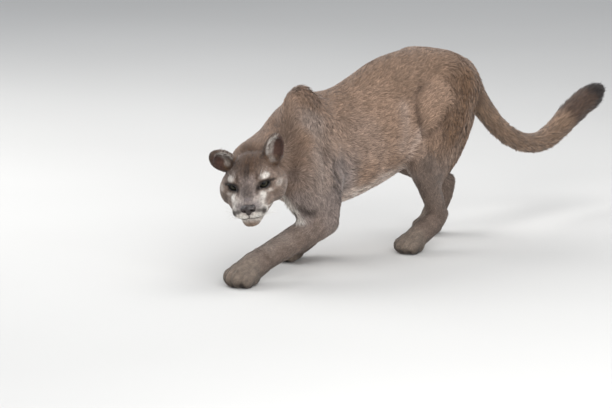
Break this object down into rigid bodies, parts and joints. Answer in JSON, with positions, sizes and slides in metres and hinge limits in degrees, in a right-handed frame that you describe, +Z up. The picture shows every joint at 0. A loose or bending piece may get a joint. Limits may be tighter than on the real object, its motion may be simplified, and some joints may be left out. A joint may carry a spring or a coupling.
{
  "type": "cougar",
  "caption": "Life-size cougar stalking low, with one forepaw stretched out, its head down and turned to its left, and its tail held out behind.",
  "frame": {"origin": "on the floor, under the middle of the animal's bounding box", "axes": "+X the way the body faces, which is also its greatest length, +Y the animal's left, +Z up"},
  "size_m": [1.704, 0.315, 0.5376],
  "materials": {
    "coat": "short dense matt fur, tawny to greyish brown",
    "nose": "bare damp skin, dark brown",
    "eye": "wet and glossy"
  },
  "bodies": {
    "root": {"torso": "coat", "head": "coat", "nose": "nose", "eye_left": "eye", "eye_right": "eye", "ear_left": "coat", "ear_right": "coat", "neck": "coat", "foreleg_left_upper": "coat", "foreleg_left_lower": "coat", "forepaw_left": "coat", "foreleg_right_upper": "coat", "foreleg_right_lower": "coat", "forepaw_right": "coat", "hindleg_left_upper": "coat", "hindleg_left_lower": "coat", "hindpaw_left": "coat", "hindleg_right_upper": "coat", "hindleg_right_lower": "coat", "hindpaw_right": "coat", "tail_base": "coat", "tail_middle": "coat", "tail_tip": "coat"}
  },
  "joints": []
}
